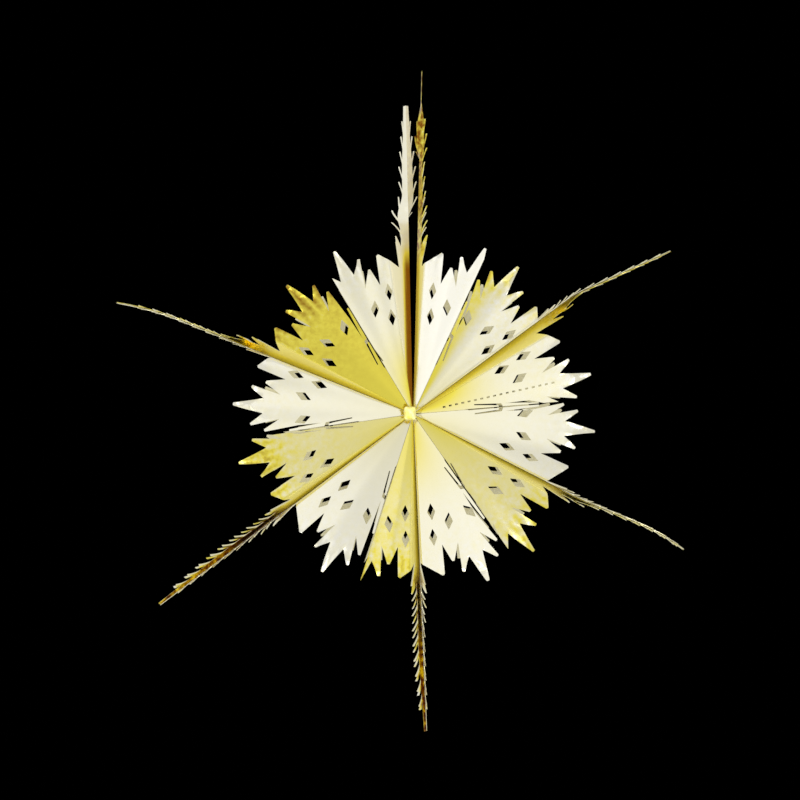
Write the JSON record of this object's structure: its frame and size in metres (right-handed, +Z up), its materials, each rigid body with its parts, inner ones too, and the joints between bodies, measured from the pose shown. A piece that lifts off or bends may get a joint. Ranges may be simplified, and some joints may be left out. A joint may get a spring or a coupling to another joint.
{
  "type": "foil hanging star",
  "caption": "Hanging star of gold foil leaves with barbed spears and toothed, pierced petals, folded open round a hub.",
  "frame": {"origin": "the point in the plain tab at the end of the upper spear that the star hangs by", "axes": "+Z up along the upper spear, the front faces -Y, +X to the right seen from the front"},
  "size_m": [0.3591, 0.0726, 0.418],
  "materials": {
    "gold_foil": "mirror gold foil on thin card"
  },
  "bodies": {
    "root": {"leaf_01": "gold_foil", "leaf_02": "gold_foil", "leaf_03": "gold_foil", "leaf_04": "gold_foil", "leaf_05": "gold_foil", "leaf_06": "gold_foil", "leaf_07": "gold_foil", "leaf_08": "gold_foil", "leaf_09": "gold_foil", "leaf_10": "gold_foil", "leaf_11": "gold_foil", "leaf_12": "gold_foil", "hub_patch": "gold_foil"}
  },
  "joints": []
}
